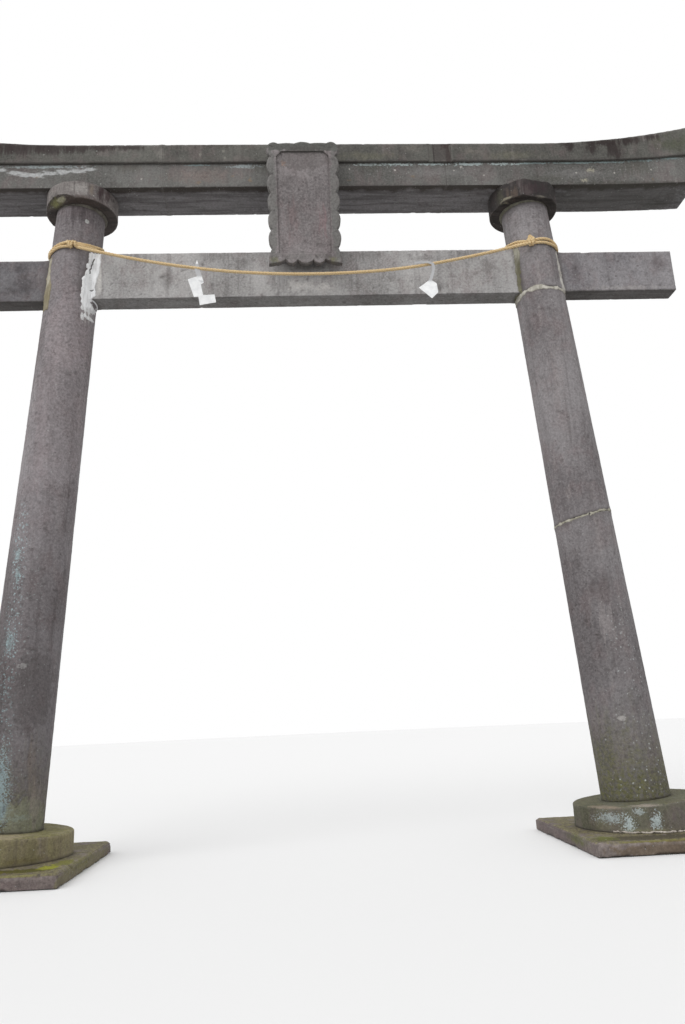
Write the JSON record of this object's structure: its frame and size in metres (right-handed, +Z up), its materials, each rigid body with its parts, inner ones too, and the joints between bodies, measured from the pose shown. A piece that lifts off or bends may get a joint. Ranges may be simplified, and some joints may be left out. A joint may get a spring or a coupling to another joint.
{
  "type": "stone torii gate",
  "caption": "Freestanding stone torii with leaning pillars on drum bases, a tie beam, swept double lintel, blank scalloped plaque, straw rope and paper streamers.",
  "frame": {"origin": "on the ground, midway between the two pillars", "axes": "+X across the gate to the right pillar, +Y through the gate away from the viewer, +Z up"},
  "size_m": [5.9256, 1.14, 4.8565],
  "materials": {
    "plinth_stone": "matte",
    "drum_stone": "matte",
    "pillar_stone": "matte",
    "cap_stone": "matte",
    "tie_stone": "matte",
    "lintel_stone": "matte",
    "top_lintel_stone": "matte",
    "joint_mortar": "matte",
    "mortar": "matte",
    "strut_stone": "matte",
    "plaque_stone": "matte",
    "straw_rope": "matte",
    "streamer_paper": "matte"
  },
  "bodies": {
    "root": {"plinth_left": "plinth_stone", "plinth_right": "plinth_stone", "drum_left": "drum_stone", "drum_right": "drum_stone", "pillar_left": "pillar_stone", "pillar_right_lower": "pillar_stone", "pillar_right_middle": "pillar_stone", "pillar_right_upper": "pillar_stone", "cap_left": "cap_stone", "cap_right": "cap_stone", "mortar_break": "mortar", "mortar_upper_joint": "mortar", "mortar_cap_left": "mortar", "mortar_cap_right": "mortar", "mortar_tie_left_inner": "mortar", "mortar_tie_left_outer": "mortar", "mortar_tie_right_inner": "mortar", "mortar_tie_right_outer": "mortar", "tie_middle": "tie_stone", "tie_end_left": "tie_stone", "tie_end_right": "tie_stone", "lower_lintel_left": "lintel_stone", "lower_lintel_middle": "lintel_stone", "lower_lintel_right": "lintel_stone", "top_lintel_left": "top_lintel_stone", "top_lintel_middle": "top_lintel_stone", "top_lintel_right": "top_lintel_stone", "lintel_joint_block": "joint_mortar", "strut": "strut_stone", "plaque": "plaque_stone", "rope_span": "straw_rope", "rope_wrap_left": "straw_rope", "rope_wrap_right": "straw_rope", "streamer_left": "streamer_paper", "streamer_right": "streamer_paper"}
  },
  "joints": []
}
